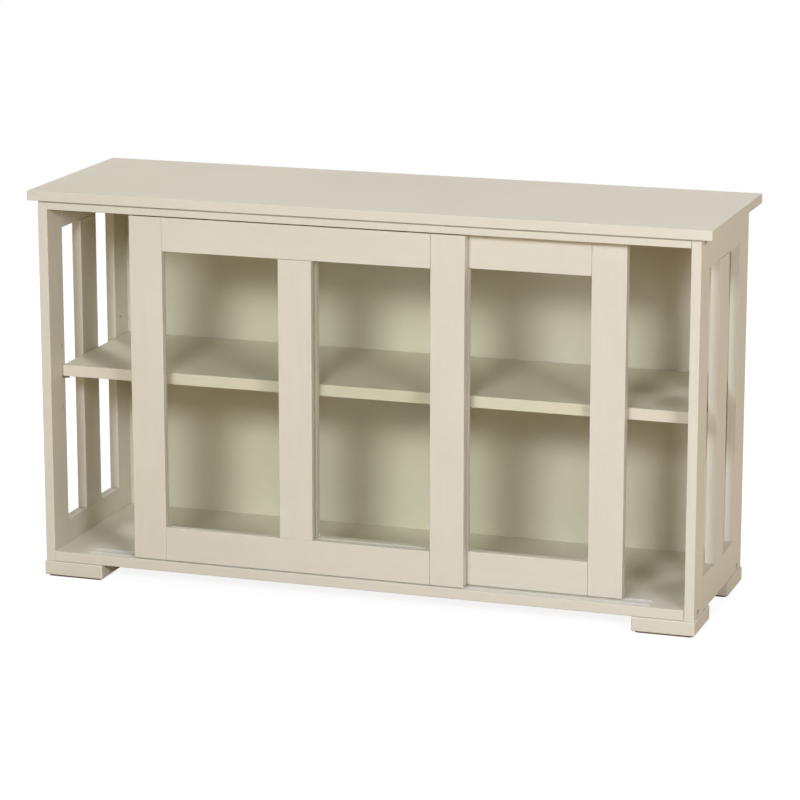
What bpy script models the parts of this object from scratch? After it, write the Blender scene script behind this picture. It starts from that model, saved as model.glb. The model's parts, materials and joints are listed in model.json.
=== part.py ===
"""Low stackable storage cabinet with slatted sides, one shelf and two sliding glass doors.

Metres, +Z up. X runs along the width, the front faces -Y, and the origin is the middle of the
footprint on the floor. The doors stand part open, the front one to the left.
"""

import math

import bmesh
import bpy
from mathutils import Matrix, Vector

# Clearance between pieces that touch on the real cabinet
GAP = 0.0003

# Overall size and the top board
TOTAL_HEIGHT = 0.610
TOP_WIDTH = 1.069
TOP_DEPTH = 0.330
TOP_THICKNESS = 0.015
TOP_FRONT_OVERHANG = 0.003
TOP_REAR_OVERHANG = 0.017
TOP_SIDE_OVERHANG = 0.016
TOP_ROUNDING = 0.0018

# Carcass boards
SIDE_THICKNESS = 0.015
SUB_TOP_THICKNESS = 0.013
BOTTOM_THICKNESS = 0.016
BOARD_ROUNDING = 0.0012

# Slatted side frames
SIDE_STILE_WIDTH = 0.055
SIDE_SLAT_WIDTH = 0.060
SIDE_TOP_RAIL_HEIGHT = 0.050
SIDE_BOTTOM_RAIL_HEIGHT = 0.054
SIDE_TENON_THICKNESS = 0.005
SIDE_TENON_LENGTH = 0.012
SIDE_TENON_SHOULDER = 0.009

# Back panel, let into rebates of the rear stiles
BACK_THICKNESS = 0.004
BACK_INSET = 0.001
BACK_LAP = 0.007

# Feet and the glide pads under them
FOOT_WIDTH = 0.0965
FOOT_HEIGHT = 0.0225
FOOT_PROUD = 0.002
FOOT_ROUNDING = 0.002
PAD_THICKNESS = 0.0025
PAD_INSET = 0.004
PAD_CORNER = 0.008

# Sliding doors
DOOR_OVERLAP = 0.059
DOOR_THICKNESS = 0.016
DOOR_SETBACK = 0.004
DOOR_SPACING = 0.004
DOOR_BOTTOM_CLEARANCE = 0.0015
DOOR_TOP_CLEARANCE = 0.0025
DOOR_STILE_WIDTH = 0.053
DOOR_RAIL_HEIGHT = 0.052
MULLION_WIDTH = 0.053
DOOR_ROUNDING = 0.0015
DOOR_TENON_THICKNESS = 0.005
DOOR_TENON_LENGTH = 0.020
DOOR_TENON_SHOULDER = 0.010
MULLION_TENON_THICKNESS = 0.004
MULLION_TENON_LENGTH = 0.008

# Doors as they stand: open width beside the front door on the left, and the rear door on the right
FRONT_DOOR_OPENING = 0.133
REAR_DOOR_OPENING = 0.1005

# Glass, its rebate at the back of the frame, and the bead that holds it
GLASS_SETBACK = 0.011
GLASS_THICKNESS = 0.003
REBATE_WIDTH = 0.008
GLASS_PLAY = 0.001
BEAD_WIDTH = 0.007
BEAD_THICKNESS = 0.0024

# Bottom tracks, let into the bottom board, and the groove that each has
TRACK_WIDTH = 0.010
TRACK_PROUD = 0.0006
TRACK_INLAY = 0.005
TRACK_END_MARGIN = 0.0525
TRACK_GROOVE_DEPTH = 0.003
TRACK_GROOVE_END = 0.004

# Guide grooves in the underside of the sub-top
GUIDE_GROOVE_DEPTH = 0.008

# Glides and guides, let into the doors' edges, with a fin that runs in the groove
RUNNER_LENGTH = 0.036
RUNNER_WIDTH = 0.009
RUNNER_DEPTH = 0.010
RUNNER_INSET = 0.108
FIN_LENGTH = 0.030
FIN_THICKNESS = 0.004
FIN_SIDE_CLEARANCE = 0.0003
GUIDE_FIN_ENGAGEMENT = 0.005

# Shelf and the spoon pins that carry it
SHELF_HEIGHT = 0.312
SHELF_THICKNESS = 0.018
SHELF_DOOR_CLEARANCE = 0.0045
SHELF_END_PLAY = 0.001
SHELF_BACK_PLAY = 0.002
PIN_RADIUS = 0.0025
PIN_HOLE_DEPTH = 0.010
PIN_FRONT_INSET = 0.0015
PIN_REAR_INSET = 0.028
PIN_PITCH = 0.049
PIN_BLADE_LENGTH = 0.0105
PIN_BLADE_WIDTH = 0.007
PIN_BLADE_THICKNESS = 0.002
PIN_BLADE_DROP = 0.002

# Screws that hold the sides to the bottom board and the sub-top
SCREW_INSET = 0.027
SCREW_LENGTH = 0.045
SCREW_HEAD_RADIUS = 0.0048
SCREW_HEAD_THICKNESS = 0.003
SCREW_SHANK_RADIUS = 0.0025
SCREW_POINT_LENGTH = 0.004
SCREW_RECESS = 0.001
HEX_RADIUS = 0.0023
HEX_DEPTH = 0.002

# Rounding of strip ends and fin ends, as a share of half the width
TRACK_END_ROUNDING = 0.98
FIN_END_ROUNDING = 0.8

# Steps of round pieces and rounded edges
ROUND_STEPS = 16
EASE_STEPS = 2
TOP_STEPS = 3
PAD_STEPS = 4
END_STEPS = 6
HEX_SIDES = 6
SMOOTH_ANGLE = math.radians(35)

# How far a cutter runs past the face that it opens, and how close two points are one
OVERSHOOT = 0.002
WELD_DISTANCE = 0.00001

# Levels and planes that follow from the sizes
CARCASS_BOTTOM = PAD_THICKNESS + FOOT_HEIGHT
PANEL_TOP = CARCASS_BOTTOM + BOTTOM_THICKNESS
TOP_UNDERSIDE = TOTAL_HEIGHT - TOP_THICKNESS
CARCASS_TOP = TOP_UNDERSIDE - GAP
SUB_TOP_UNDERSIDE = TOP_UNDERSIDE - SUB_TOP_THICKNESS
SIDE_OUTER = TOP_WIDTH / 2 - TOP_SIDE_OVERHANG
SIDE_INNER = SIDE_OUTER - SIDE_THICKNESS
PANEL_END = SIDE_INNER - GAP
FRONT = -TOP_DEPTH / 2 + TOP_FRONT_OVERHANG
REAR = TOP_DEPTH / 2 - TOP_REAR_OVERHANG
BACK_FACE = REAR - BACK_INSET - BACK_THICKNESS
PANEL_REAR = BACK_FACE - GAP
TRACK_TOP = PANEL_TOP + TRACK_PROUD
TRACK_END = SIDE_INNER - TRACK_END_MARGIN

DOOR_WIDTH = (2 * SIDE_INNER + DOOR_OVERLAP) / 2
DOOR_BOTTOM = PANEL_TOP + DOOR_BOTTOM_CLEARANCE
DOOR_TOP = SUB_TOP_UNDERSIDE - DOOR_TOP_CLEARANCE
FRONT_DOOR_FACE = FRONT + DOOR_SETBACK
REAR_DOOR_FACE = FRONT_DOOR_FACE + DOOR_THICKNESS + DOOR_SPACING
FRONT_DOOR_X = -SIDE_INNER + FRONT_DOOR_OPENING + DOOR_WIDTH / 2
REAR_DOOR_X = SIDE_INNER - REAR_DOOR_OPENING - DOOR_WIDTH / 2
GROOVE_WIDTH = FIN_THICKNESS + 2 * FIN_SIDE_CLEARANCE

SHELF_FRONT = REAR_DOOR_FACE + DOOR_THICKNESS + SHELF_DOOR_CLEARANCE
SHELF_REAR = BACK_FACE - SHELF_BACK_PLAY
PIN_BLADE_BOTTOM = SHELF_HEIGHT - GAP - PIN_BLADE_THICKNESS
PIN_AXIS_HEIGHT = PIN_BLADE_BOTTOM + PIN_BLADE_DROP
PIN_ROWS = (SHELF_FRONT + PIN_FRONT_INSET, SHELF_REAR - PIN_REAR_INSET)

SCREW_ROWS = (FRONT + SCREW_INSET, REAR - SCREW_INSET)
SCREW_LEVELS = ((CARCASS_BOTTOM + PANEL_TOP) / 2, (SUB_TOP_UNDERSIDE + CARCASS_TOP) / 2)

# Finishes: linear colour, roughness and metallic value
CREAM_PAINT = ((0.76, 0.71, 0.59), 0.45, 0.0)
CLEAR_GLASS = ((0.80, 0.88, 0.82), 0.05, 0.0)
WHITE_PLASTIC = ((0.78, 0.76, 0.70), 0.35, 0.0)
BLACK_PLASTIC = ((0.02, 0.02, 0.02), 0.50, 0.0)
BROWN_FELT = ((0.05, 0.03, 0.02), 0.95, 0.0)
DULL_STEEL = ((0.30, 0.28, 0.25), 0.40, 1.0)


def clear_scene():
    for thing in list(bpy.data.objects):
        bpy.data.objects.remove(thing, do_unlink=True)


def new_collection(name):
    collection = bpy.data.collections.new(name)
    bpy.context.scene.collection.children.link(collection)
    return collection


def add_object(name, mesh, collection, centre, parent=None):
    piece = bpy.data.objects.new(name, mesh)
    collection.objects.link(piece)
    piece.location = Vector(centre)
    if parent is not None:
        piece.parent = parent
        piece.location -= parent.location
    return piece


def give_finish(piece, finish):
    colour, roughness, metallic = finish
    material = bpy.data.materials.new(piece.name + "_finish")
    material.use_nodes = True
    shader = material.node_tree.nodes["Principled BSDF"]
    shader.inputs["Base Color"].default_value = (*colour, 1.0)
    shader.inputs["Roughness"].default_value = roughness
    shader.inputs["Metallic"].default_value = metallic
    material.diffuse_color = (*colour, 1.0)
    piece.data.materials.append(material)


def box_mesh(name, low, high, eased="", ease=0.0, steps=EASE_STEPS):
    """A box centred on its object's origin, with the edges along the axes in eased rounded."""
    size = Vector(high) - Vector(low)
    shape = bmesh.new()
    bmesh.ops.create_cube(shape, size=1.0)
    bmesh.ops.scale(shape, vec=size, verts=shape.verts)
    rounded = []
    for edge in shape.edges:
        run = edge.verts[1].co - edge.verts[0].co
        along = max(range(3), key=lambda i: abs(run[i]))
        if "xyz"[along] in eased:
            rounded.append(edge)
    if rounded:
        bmesh.ops.bevel(
            shape, geom=rounded, offset=ease, segments=steps, profile=0.5, affect="EDGES"
        )
    mesh = bpy.data.meshes.new(name)
    shape.to_mesh(mesh)
    shape.free()
    return mesh


def smooth(mesh):
    mesh.shade_smooth()
    mesh.set_sharp_from_angle(angle=SMOOTH_ANGLE)


def middle(low, high):
    return (Vector(low) + Vector(high)) / 2


def board(name, low, high, finish, eased="", ease=BOARD_ROUNDING, parent=None, steps=EASE_STEPS):
    mesh = box_mesh(name, low, high, eased, ease, steps)
    piece = add_object(name, mesh, parts, middle(low, high), parent)
    give_finish(piece, finish)
    return piece


def hidden(piece):
    piece.hide_render = True
    piece.display_type = "WIRE"
    return piece


def tool_box(name, low, high, grow=0.0, parent=None, eased="", ease=0.0, steps=EASE_STEPS):
    """A hidden box for a Boolean, larger by grow on every side."""
    margin = Vector((grow, grow, grow))
    low = Vector(low) - margin
    high = Vector(high) + margin
    mesh = box_mesh(name, low, high, eased, ease, steps)
    return hidden(add_object(name, mesh, cutters, middle(low, high), parent))


def tool_cylinder(name, start, end, radius, steps=ROUND_STEPS):
    """A hidden cylinder along X for a Boolean, from start to end."""
    start = Vector(start)
    end = Vector(end)
    shape = bmesh.new()
    bmesh.ops.create_cone(
        shape, cap_ends=True, segments=steps, radius1=radius, radius2=radius,
        depth=(end - start).length,
    )
    bmesh.ops.rotate(shape, matrix=Matrix.Rotation(math.pi / 2, 3, "Y"), verts=shape.verts)
    mesh = bpy.data.meshes.new(name)
    shape.to_mesh(mesh)
    shape.free()
    smooth(mesh)
    return hidden(add_object(name, mesh, cutters, (start + end) / 2))


def combine(piece, tool, operation):
    change = piece.modifiers.new(tool.name, "BOOLEAN")
    change.operation = operation
    change.object = tool
    change.solver = "EXACT"


def cut(piece, tool):
    combine(piece, tool, "DIFFERENCE")


def join(piece, tool):
    combine(piece, tool, "UNION")


def make_top():
    half = TOP_WIDTH / 2
    board(
        "top_panel", (-half, -TOP_DEPTH / 2, TOP_UNDERSIDE), (half, TOP_DEPTH / 2, TOTAL_HEIGHT),
        CREAM_PAINT, "xyz", TOP_ROUNDING, steps=TOP_STEPS,
    )


def make_panels():
    """The sub-top and the bottom board run between the sides, flush with their front edges."""
    sub_top = board(
        "sub_top", (-PANEL_END, FRONT, SUB_TOP_UNDERSIDE), (PANEL_END, PANEL_REAR, CARCASS_TOP),
        CREAM_PAINT, "x",
    )
    bottom = board(
        "bottom_panel", (-PANEL_END, FRONT, CARCASS_BOTTOM), (PANEL_END, PANEL_REAR, PANEL_TOP),
        CREAM_PAINT, "x",
    )
    return sub_top, bottom


def make_side_frame(side, sign):
    """A frame of two stiles, two rails and a slat, tenoned into one another."""
    low_x, high_x = sorted((sign * SIDE_OUTER, sign * SIDE_INNER))
    rail_front = FRONT + SIDE_STILE_WIDTH
    rail_rear = REAR - SIDE_STILE_WIDTH
    slot_bottom = CARCASS_BOTTOM + SIDE_BOTTOM_RAIL_HEIGHT
    slot_top = CARCASS_TOP - SIDE_TOP_RAIL_HEIGHT
    tenon_low_x = (low_x + high_x - SIDE_TENON_THICKNESS) / 2
    tenon_high_x = tenon_low_x + SIDE_TENON_THICKNESS

    front_stile = board(
        f"{side}_side_front_stile", (low_x, FRONT, CARCASS_BOTTOM), (high_x, rail_front, CARCASS_TOP),
        CREAM_PAINT, "z",
    )
    rear_stile = board(
        f"{side}_side_rear_stile", (low_x, rail_rear, CARCASS_BOTTOM), (high_x, REAR, CARCASS_TOP),
        CREAM_PAINT, "z",
    )
    rails = {}
    for place, low_z, high_z in (
        ("bottom", CARCASS_BOTTOM, slot_bottom),
        ("top", slot_top, CARCASS_TOP),
    ):
        rail = board(
            f"{side}_side_{place}_rail", (low_x, rail_front + GAP, low_z),
            (high_x, rail_rear - GAP, high_z), CREAM_PAINT, "y",
        )
        tenon_low = (tenon_low_x, rail_front - SIDE_TENON_LENGTH, low_z + SIDE_TENON_SHOULDER)
        tenon_high = (tenon_high_x, rail_rear + SIDE_TENON_LENGTH, high_z - SIDE_TENON_SHOULDER)
        join(rail, tool_box(f"{rail.name}_tenons", tenon_low, tenon_high))
        mortises = tool_box(f"{rail.name}_mortises", tenon_low, tenon_high, GAP)
        cut(front_stile, mortises)
        cut(rear_stile, mortises)
        rails[place] = rail

    slat_front = (FRONT + REAR - SIDE_SLAT_WIDTH) / 2
    slat_rear = slat_front + SIDE_SLAT_WIDTH
    slat = board(
        f"{side}_side_slat", (low_x, slat_front, slot_bottom + GAP),
        (high_x, slat_rear, slot_top - GAP), CREAM_PAINT, "z",
    )
    tenon_low = (tenon_low_x, slat_front + SIDE_TENON_SHOULDER, slot_bottom - SIDE_TENON_LENGTH)
    tenon_high = (tenon_high_x, slat_rear - SIDE_TENON_SHOULDER, slot_top + SIDE_TENON_LENGTH)
    join(slat, tool_box(f"{slat.name}_tenons", tenon_low, tenon_high))
    mortises = tool_box(f"{slat.name}_mortises", tenon_low, tenon_high, GAP)
    for rail in rails.values():
        cut(rail, mortises)

    rebate_low_x, rebate_high_x = sorted(
        (sign * (SIDE_INNER - OVERSHOOT), sign * (SIDE_INNER + BACK_LAP + GAP))
    )
    rebate = tool_box(
        f"{side}_side_back_rebate", (rebate_low_x, PANEL_REAR, CARCASS_BOTTOM - OVERSHOOT),
        (rebate_high_x, REAR + OVERSHOOT, CARCASS_TOP + OVERSHOOT),
    )
    cut(rear_stile, rebate)
    return front_stile, rear_stile


def make_back():
    edge = SIDE_INNER + BACK_LAP
    board(
        "back_panel", (-edge, BACK_FACE, CARCASS_BOTTOM),
        (edge, BACK_FACE + BACK_THICKNESS, CARCASS_TOP), CREAM_PAINT,
    )


def make_feet():
    """Four blocks under the corners, each with a glide pad."""
    for place, sign_y in (("front", -1), ("rear", 1)):
        outer_y = FRONT - FOOT_PROUD if sign_y < 0 else REAR + FOOT_PROUD
        for side, sign_x in (("left", -1), ("right", 1)):
            outer_x = sign_x * (SIDE_OUTER + FOOT_PROUD)
            low_x, high_x = sorted((outer_x, outer_x - sign_x * FOOT_WIDTH))
            low_y, high_y = sorted((outer_y, outer_y - sign_y * FOOT_WIDTH))
            board(
                f"{place}_{side}_foot", (low_x, low_y, PAD_THICKNESS + GAP),
                (high_x, high_y, CARCASS_BOTTOM - GAP), CREAM_PAINT, "xyz", FOOT_ROUNDING,
            )
            board(
                f"{place}_{side}_pad", (low_x + PAD_INSET, low_y + PAD_INSET, 0.0),
                (high_x - PAD_INSET, high_y - PAD_INSET, PAD_THICKNESS), BROWN_FELT, "z",
                PAD_CORNER, steps=PAD_STEPS,
            )


def make_track(name, centre_y, bottom_panel, sub_top):
    """A grooved strip in the bottom board, and the guide groove above it in the sub-top."""
    half = TRACK_WIDTH / 2
    low = (-TRACK_END, centre_y - half, PANEL_TOP - TRACK_INLAY)
    high = (TRACK_END, centre_y + half, TRACK_TOP)
    track = board(
        name, low, high, WHITE_PLASTIC, "z", half * TRACK_END_ROUNDING, steps=END_STEPS,
    )
    bed_low = Vector(low) - Vector((GAP, GAP, GAP))
    bed_high = Vector((high[0] + GAP, high[1] + GAP, PANEL_TOP + OVERSHOOT))
    bed = tool_box(
        f"{name}_bed", bed_low, bed_high, eased="z", ease=(half + GAP) * TRACK_END_ROUNDING,
        steps=END_STEPS,
    )
    cut(bottom_panel, bed)

    half_groove = GROOVE_WIDTH / 2
    groove_end = TRACK_END - TRACK_GROOVE_END
    groove = tool_box(
        f"{name}_groove", (-groove_end, centre_y - half_groove, TRACK_TOP - TRACK_GROOVE_DEPTH),
        (groove_end, centre_y + half_groove, TRACK_TOP + OVERSHOOT),
    )
    cut(track, groove)
    guide_groove = tool_box(
        f"{name}_guide_groove", (-groove_end, centre_y - half_groove, SUB_TOP_UNDERSIDE - OVERSHOOT),
        (groove_end, centre_y + half_groove, SUB_TOP_UNDERSIDE + GUIDE_GROOVE_DEPTH),
    )
    cut(sub_top, guide_groove)


def make_runner(name, centre_x, centre_y, block_z, fin_z, rail, finish, parent):
    """A block let into a door rail's edge, with a fin that runs in the groove beyond it."""
    block_low = (centre_x - RUNNER_LENGTH / 2, centre_y - RUNNER_WIDTH / 2, block_z[0])
    block_high = (centre_x + RUNNER_LENGTH / 2, centre_y + RUNNER_WIDTH / 2, block_z[1])
    runner = board(name, block_low, block_high, finish, parent=parent)
    fin_low = (centre_x - FIN_LENGTH / 2, centre_y - FIN_THICKNESS / 2, fin_z[0])
    fin_high = (centre_x + FIN_LENGTH / 2, centre_y + FIN_THICKNESS / 2, fin_z[1])
    fin = tool_box(
        f"{name}_fin", fin_low, fin_high, parent=parent, eased="z",
        ease=FIN_THICKNESS / 2 * FIN_END_ROUNDING,
    )
    join(runner, fin)
    cut(rail, tool_box(f"{name}_pocket", block_low, block_high, GAP, parent=parent))


def make_door(door, centre_x, face):
    """A frame with a bar in front of one pane of glass, on glides, with guides at the top."""
    empty = bpy.data.objects.new(f"{door}_slide", None)
    parts.objects.link(empty)
    empty.location = (centre_x, face + DOOR_THICKNESS / 2, DOOR_BOTTOM)

    back = face + DOOR_THICKNESS
    left = centre_x - DOOR_WIDTH / 2
    right = centre_x + DOOR_WIDTH / 2
    lite_left = left + DOOR_STILE_WIDTH
    lite_right = right - DOOR_STILE_WIDTH
    lite_bottom = DOOR_BOTTOM + DOOR_RAIL_HEIGHT
    lite_top = DOOR_TOP - DOOR_RAIL_HEIGHT

    stiles = []
    for side, low_x, high_x in (("left", left, lite_left), ("right", lite_right, right)):
        stiles.append(board(
            f"{door}_{side}_stile", (low_x, face, DOOR_BOTTOM), (high_x, back, DOOR_TOP),
            CREAM_PAINT, "xyz", DOOR_ROUNDING, empty,
        ))

    rails = {}
    tenon_front = (face + back - DOOR_TENON_THICKNESS) / 2
    for place, low_z, high_z in (
        ("bottom", DOOR_BOTTOM, lite_bottom),
        ("top", lite_top, DOOR_TOP),
    ):
        rail = board(
            f"{door}_{place}_rail", (lite_left + GAP, face, low_z), (lite_right - GAP, back, high_z),
            CREAM_PAINT, "x", DOOR_ROUNDING, empty,
        )
        tenon_low = (lite_left - DOOR_TENON_LENGTH, tenon_front, low_z + DOOR_TENON_SHOULDER)
        tenon_high = (
            lite_right + DOOR_TENON_LENGTH, tenon_front + DOOR_TENON_THICKNESS,
            high_z - DOOR_TENON_SHOULDER,
        )
        join(rail, tool_box(f"{rail.name}_tenons", tenon_low, tenon_high, parent=empty))
        mortises = tool_box(f"{rail.name}_mortises", tenon_low, tenon_high, GAP, empty)
        for stile in stiles:
            cut(stile, mortises)
        rails[place] = rail

    mullion_left = centre_x - MULLION_WIDTH / 2
    mullion_right = centre_x + MULLION_WIDTH / 2
    mullion = board(
        f"{door}_mullion", (mullion_left, face, lite_bottom + GAP),
        (mullion_right, face + GLASS_SETBACK, lite_top - GAP), CREAM_PAINT, "z", DOOR_ROUNDING, empty,
    )
    tenon_front = face + (GLASS_SETBACK - MULLION_TENON_THICKNESS) / 2
    tenon_low = (
        mullion_left + DOOR_TENON_SHOULDER, tenon_front, lite_bottom - MULLION_TENON_LENGTH,
    )
    tenon_high = (
        mullion_right - DOOR_TENON_SHOULDER, tenon_front + MULLION_TENON_THICKNESS,
        lite_top + MULLION_TENON_LENGTH,
    )
    join(mullion, tool_box(f"{door}_mullion_tenons", tenon_low, tenon_high, parent=empty))
    mortises = tool_box(f"{door}_mullion_mortises", tenon_low, tenon_high, GAP, empty)
    for rail in rails.values():
        cut(rail, mortises)

    rebate_low = (lite_left - REBATE_WIDTH, face + GLASS_SETBACK, lite_bottom - REBATE_WIDTH)
    rebate_high = (lite_right + REBATE_WIDTH, back + OVERSHOOT, lite_top + REBATE_WIDTH)
    rebate = tool_box(f"{door}_glass_rebate", rebate_low, rebate_high, parent=empty)
    for piece in (*stiles, *rails.values()):
        cut(piece, rebate)

    glass_front = face + GLASS_SETBACK + GAP
    glass_back = glass_front + GLASS_THICKNESS
    board(
        f"{door}_glass", (rebate_low[0] + GLASS_PLAY, glass_front, rebate_low[2] + GAP),
        (rebate_high[0] - GLASS_PLAY, glass_back, rebate_high[2] - GLASS_PLAY), CLEAR_GLASS,
        parent=empty,
    )
    bead_low = (rebate_low[0] + GAP, glass_back + GAP, rebate_low[2] + GAP)
    bead_high = (rebate_high[0] - GAP, glass_back + GAP + BEAD_THICKNESS, rebate_high[2] - GAP)
    bead = board(f"{door}_glass_bead", bead_low, bead_high, WHITE_PLASTIC, parent=empty)
    inner_low = (bead_low[0] + BEAD_WIDTH, bead_low[1] - OVERSHOOT, bead_low[2] + BEAD_WIDTH)
    inner_high = (bead_high[0] - BEAD_WIDTH, bead_high[1] + OVERSHOOT, bead_high[2] - BEAD_WIDTH)
    cut(bead, tool_box(f"{door}_bead_opening", inner_low, inner_high, parent=empty))

    centre_y = face + DOOR_THICKNESS / 2
    groove_floor = TRACK_TOP - TRACK_GROOVE_DEPTH
    for side, sign in (("left", -1), ("right", 1)):
        runner_x = centre_x + sign * (DOOR_WIDTH / 2 - RUNNER_INSET)
        make_runner(
            f"{door}_{side}_bottom_glide", runner_x, centre_y,
            (DOOR_BOTTOM, DOOR_BOTTOM + RUNNER_DEPTH),
            (groove_floor + GAP, DOOR_BOTTOM + RUNNER_DEPTH / 2),
            rails["bottom"], WHITE_PLASTIC, empty,
        )
        make_runner(
            f"{door}_{side}_top_guide", runner_x, centre_y,
            (DOOR_TOP - RUNNER_DEPTH, SUB_TOP_UNDERSIDE - GAP),
            (DOOR_TOP - RUNNER_DEPTH / 2, SUB_TOP_UNDERSIDE + GUIDE_FIN_ENGAGEMENT),
            rails["top"], BLACK_PLASTIC, empty,
        )


def make_shelf():
    end = SIDE_INNER - SHELF_END_PLAY
    board(
        "shelf", (-end, SHELF_FRONT, SHELF_HEIGHT),
        (end, SHELF_REAR, SHELF_HEIGHT + SHELF_THICKNESS), CREAM_PAINT, "x",
    )


def make_pins(side, sign, stiles):
    """Two spoon pins a side, and three holes in each stile for them."""
    face = sign * SIDE_INNER
    for place, centre_y, stile in zip(("front", "rear"), PIN_ROWS, stiles):
        for row in (-1, 0, 1):
            height = PIN_AXIS_HEIGHT + row * PIN_PITCH
            hole = tool_cylinder(
                f"{side}_{place}_pin_hole_{row + 2}",
                (face - sign * OVERSHOOT, centre_y, height),
                (face + sign * (PIN_HOLE_DEPTH + GAP), centre_y, height), PIN_RADIUS + GAP,
            )
            cut(stile, hole)
        low_x, high_x = sorted((face - sign * GAP, face - sign * (GAP + PIN_BLADE_LENGTH)))
        pin = board(
            f"{side}_{place}_shelf_pin", (low_x, centre_y - PIN_BLADE_WIDTH / 2, PIN_BLADE_BOTTOM),
            (high_x, centre_y + PIN_BLADE_WIDTH / 2, PIN_BLADE_BOTTOM + PIN_BLADE_THICKNESS),
            DULL_STEEL,
        )
        shank = tool_cylinder(
            f"{pin.name}_shank", (face - sign * (SHELF_END_PLAY - GAP), centre_y, PIN_AXIS_HEIGHT),
            (face + sign * PIN_HOLE_DEPTH, centre_y, PIN_AXIS_HEIGHT), PIN_RADIUS,
        )
        join(pin, shank)


def turned_mesh(name, profile):
    """A profile of radius and distance along X, turned about X."""
    shape = bmesh.new()
    points = [shape.verts.new((along, radius, 0.0)) for radius, along in profile]
    edges = [shape.edges.new(pair) for pair in zip(points, points[1:])]
    bmesh.ops.spin(
        shape, geom=points + edges, cent=(0, 0, 0), axis=(1, 0, 0), angle=math.tau,
        steps=ROUND_STEPS, use_merge=True,
    )
    bmesh.ops.remove_doubles(shape, verts=shape.verts, dist=WELD_DISTANCE)
    bmesh.ops.recalc_face_normals(shape, faces=shape.faces)
    mesh = bpy.data.meshes.new(name)
    shape.to_mesh(mesh)
    shape.free()
    smooth(mesh)
    return mesh


def make_screws(side, sign, stiles, panels):
    """Socket screws through each side frame's stiles into the ends of the two long boards."""
    head_face = sign * (SIDE_OUTER - SCREW_RECESS)
    profile = (
        (0.0, 0.0),
        (SCREW_HEAD_RADIUS, 0.0),
        (SCREW_HEAD_RADIUS, -sign * SCREW_HEAD_THICKNESS),
        (SCREW_SHANK_RADIUS, -sign * SCREW_HEAD_THICKNESS),
        (SCREW_SHANK_RADIUS, -sign * (SCREW_LENGTH - SCREW_POINT_LENGTH)),
        (0.0, -sign * SCREW_LENGTH),
    )
    for level, height, panel in zip(("bottom", "top"), SCREW_LEVELS, panels):
        for place, centre_y, stile in zip(("front", "rear"), SCREW_ROWS, stiles):
            name = f"{side}_{level}_{place}_screw"
            centre = (head_face, centre_y, height)
            screw = add_object(name, turned_mesh(name, profile), parts, centre)
            give_finish(screw, DULL_STEEL)
            socket = tool_cylinder(
                f"{name}_socket", (head_face + sign * OVERSHOOT, centre_y, height),
                (head_face - sign * HEX_DEPTH, centre_y, height), HEX_RADIUS, HEX_SIDES,
            )
            cut(screw, socket)
            pocket = tool_cylinder(
                f"{name}_pocket", (sign * (SIDE_OUTER + OVERSHOOT), centre_y, height),
                (head_face - sign * (SCREW_HEAD_THICKNESS + GAP), centre_y, height),
                SCREW_HEAD_RADIUS + GAP,
            )
            cut(stile, pocket)
            hole = tool_cylinder(
                f"{name}_hole", (head_face, centre_y, height),
                (head_face - sign * (SCREW_LENGTH + GAP), centre_y, height),
                SCREW_SHANK_RADIUS + GAP,
            )
            cut(stile, hole)
            cut(panel, hole)


clear_scene()
parts = new_collection("stackable_storage_cabinet")
cutters = new_collection("cutters")

make_top()
top_board, bottom_board = make_panels()
for side_name, side_sign in (("left", -1), ("right", 1)):
    side_stiles = make_side_frame(side_name, side_sign)
    make_pins(side_name, side_sign, side_stiles)
    make_screws(side_name, side_sign, side_stiles, (bottom_board, top_board))
make_back()
make_feet()
make_track("front_bottom_track", FRONT_DOOR_FACE + DOOR_THICKNESS / 2, bottom_board, top_board)
make_track("rear_bottom_track", REAR_DOOR_FACE + DOOR_THICKNESS / 2, bottom_board, top_board)
make_door("front_door", FRONT_DOOR_X, FRONT_DOOR_FACE)
make_door("rear_door", REAR_DOOR_X, REAR_DOOR_FACE)
make_shelf()
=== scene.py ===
"""The finished look of a low storage cabinet with slatted sides and two sliding glass doors.

Metres, +Z up. The front faces -Y. Each piece but the staples takes its place and size from one of
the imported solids.
"""

import json
import math

import bmesh
import bpy
from mathutils import Matrix, Vector

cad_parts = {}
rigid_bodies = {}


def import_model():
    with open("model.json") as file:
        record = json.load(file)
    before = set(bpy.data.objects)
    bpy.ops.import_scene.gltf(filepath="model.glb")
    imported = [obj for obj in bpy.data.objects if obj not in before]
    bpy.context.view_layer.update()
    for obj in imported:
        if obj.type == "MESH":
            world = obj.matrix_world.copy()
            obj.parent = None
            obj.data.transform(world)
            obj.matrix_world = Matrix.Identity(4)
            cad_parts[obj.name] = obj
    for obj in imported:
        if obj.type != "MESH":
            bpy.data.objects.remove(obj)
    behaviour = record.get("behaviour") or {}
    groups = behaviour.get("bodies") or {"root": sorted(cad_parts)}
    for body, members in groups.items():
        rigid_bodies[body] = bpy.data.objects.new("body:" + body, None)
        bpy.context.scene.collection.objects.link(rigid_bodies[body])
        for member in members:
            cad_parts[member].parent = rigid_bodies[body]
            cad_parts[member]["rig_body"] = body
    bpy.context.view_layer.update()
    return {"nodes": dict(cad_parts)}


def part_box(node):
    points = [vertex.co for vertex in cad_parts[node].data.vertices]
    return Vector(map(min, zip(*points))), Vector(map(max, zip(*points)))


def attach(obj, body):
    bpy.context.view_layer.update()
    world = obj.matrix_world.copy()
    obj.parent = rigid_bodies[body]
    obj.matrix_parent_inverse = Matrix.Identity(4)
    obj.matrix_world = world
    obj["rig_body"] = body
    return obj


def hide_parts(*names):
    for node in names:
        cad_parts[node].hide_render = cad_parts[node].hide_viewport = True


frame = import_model()


# The view
# The cabinet is seen from five metres away, a little from its right and from above, with a long
# lens that keeps its upright edges close to parallel.
EYE = (1.590, -4.744, 1.475)
EYE_TURN = math.radians(18.42)
EYE_DROP = math.radians(13.38)
LENS = 150.0
SENSOR = 36.0

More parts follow.
